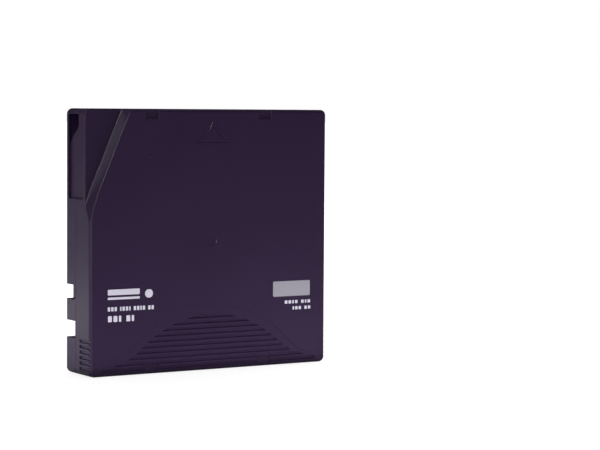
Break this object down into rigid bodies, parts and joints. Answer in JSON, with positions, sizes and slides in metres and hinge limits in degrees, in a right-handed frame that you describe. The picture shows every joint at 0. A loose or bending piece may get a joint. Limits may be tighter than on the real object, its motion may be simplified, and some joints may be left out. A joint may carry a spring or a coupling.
{
  "type": "data tape cartridge",
  "caption": "Flat rectangular cartridge for half-inch data tape, with a stepped corner, a sliding side door, gripper notches and a reel held by a toothed brake.",
  "frame": {"origin": "bottom centre of the whole cartridge, which stands on its rear edge", "axes": "+Z from the rear edge to the edge inserted first, +X across the width, +Y through the thickness towards the base with the spindle opening"},
  "size_m": [0.1054, 0.0216, 0.102],
  "materials": {
    "shell_plastic": "fine matt texture",
    "screw_steel": "dark zinc",
    "hub_plastic": "moulded, satin",
    "flange_plastic": "natural, slightly clear",
    "plate_steel": "turned",
    "tape_edge": "wound edge",
    "pad_plastic": "moulded",
    "brake_plastic": "moulded",
    "spring_steel": "drawn wire",
    "pin_steel": "ground",
    "clip_plastic": "moulded",
    "tape_film": "coated film",
    "door_plastic": "fine matt texture",
    "tab_plastic": "moulded",
    "board_laminate": "laminate",
    "chip_resin": "resin"
  },
  "bodies": {
    "case": {"upper_shell": "shell_plastic", "lower_shell": "shell_plastic", "case_screws": "screw_steel", "leader_pin": "pin_steel", "tape_clip": "clip_plastic", "tape_lead": "tape_film", "pin_spring": "spring_steel", "memory_board": "board_laminate", "memory_chip": "chip_resin", "door_spring": "spring_steel", "brake_spring": "spring_steel"},
    "reel": {"reel_hub": "hub_plastic", "upper_flange": "flange_plastic", "reel_plate": "plate_steel", "tape_pack": "tape_edge"},
    "brake_disc": {"brake": "brake_plastic"},
    "release": {"release_pad": "pad_plastic"},
    "side_door": {"door": "door_plastic"},
    "protect_tab": {"write_protect_tab": "tab_plastic"}
  },
  "joints": [
    {"name": "reel_spin", "type": "hinge", "parent": "case", "child": "reel", "pos_m": [0, 0, 0.051], "axis": [0, 1, 0], "continuous": true},
    {"name": "brake_lift", "type": "slide", "parent": "case", "child": "brake_disc", "axis": [0, -1, 0], "range_m": [0, 0.002], "stiffness_N_per_m": 400, "springref_m": -0.01, "deforming": ["brake_spring"]},
    {"name": "release_lift", "type": "slide", "parent": "reel", "child": "release", "axis": [0, -1, 0], "range_m": [0, 0.002]},
    {"name": "door_slide", "type": "slide", "parent": "case", "child": "side_door", "axis": [0, 0, -1], "range_m": [0, 0.0215], "stiffness_N_per_m": 18, "springref_m": -0.02, "deforming": ["door_spring"]},
    {"name": "tab_slide", "type": "slide", "parent": "case", "child": "protect_tab", "axis": [1, 0, 0], "range_m": [0, 0.0042]}
  ],
  "couplings": [
    {"joint": "release_lift", "follows": "brake_lift", "ratio": 1}
  ]
}
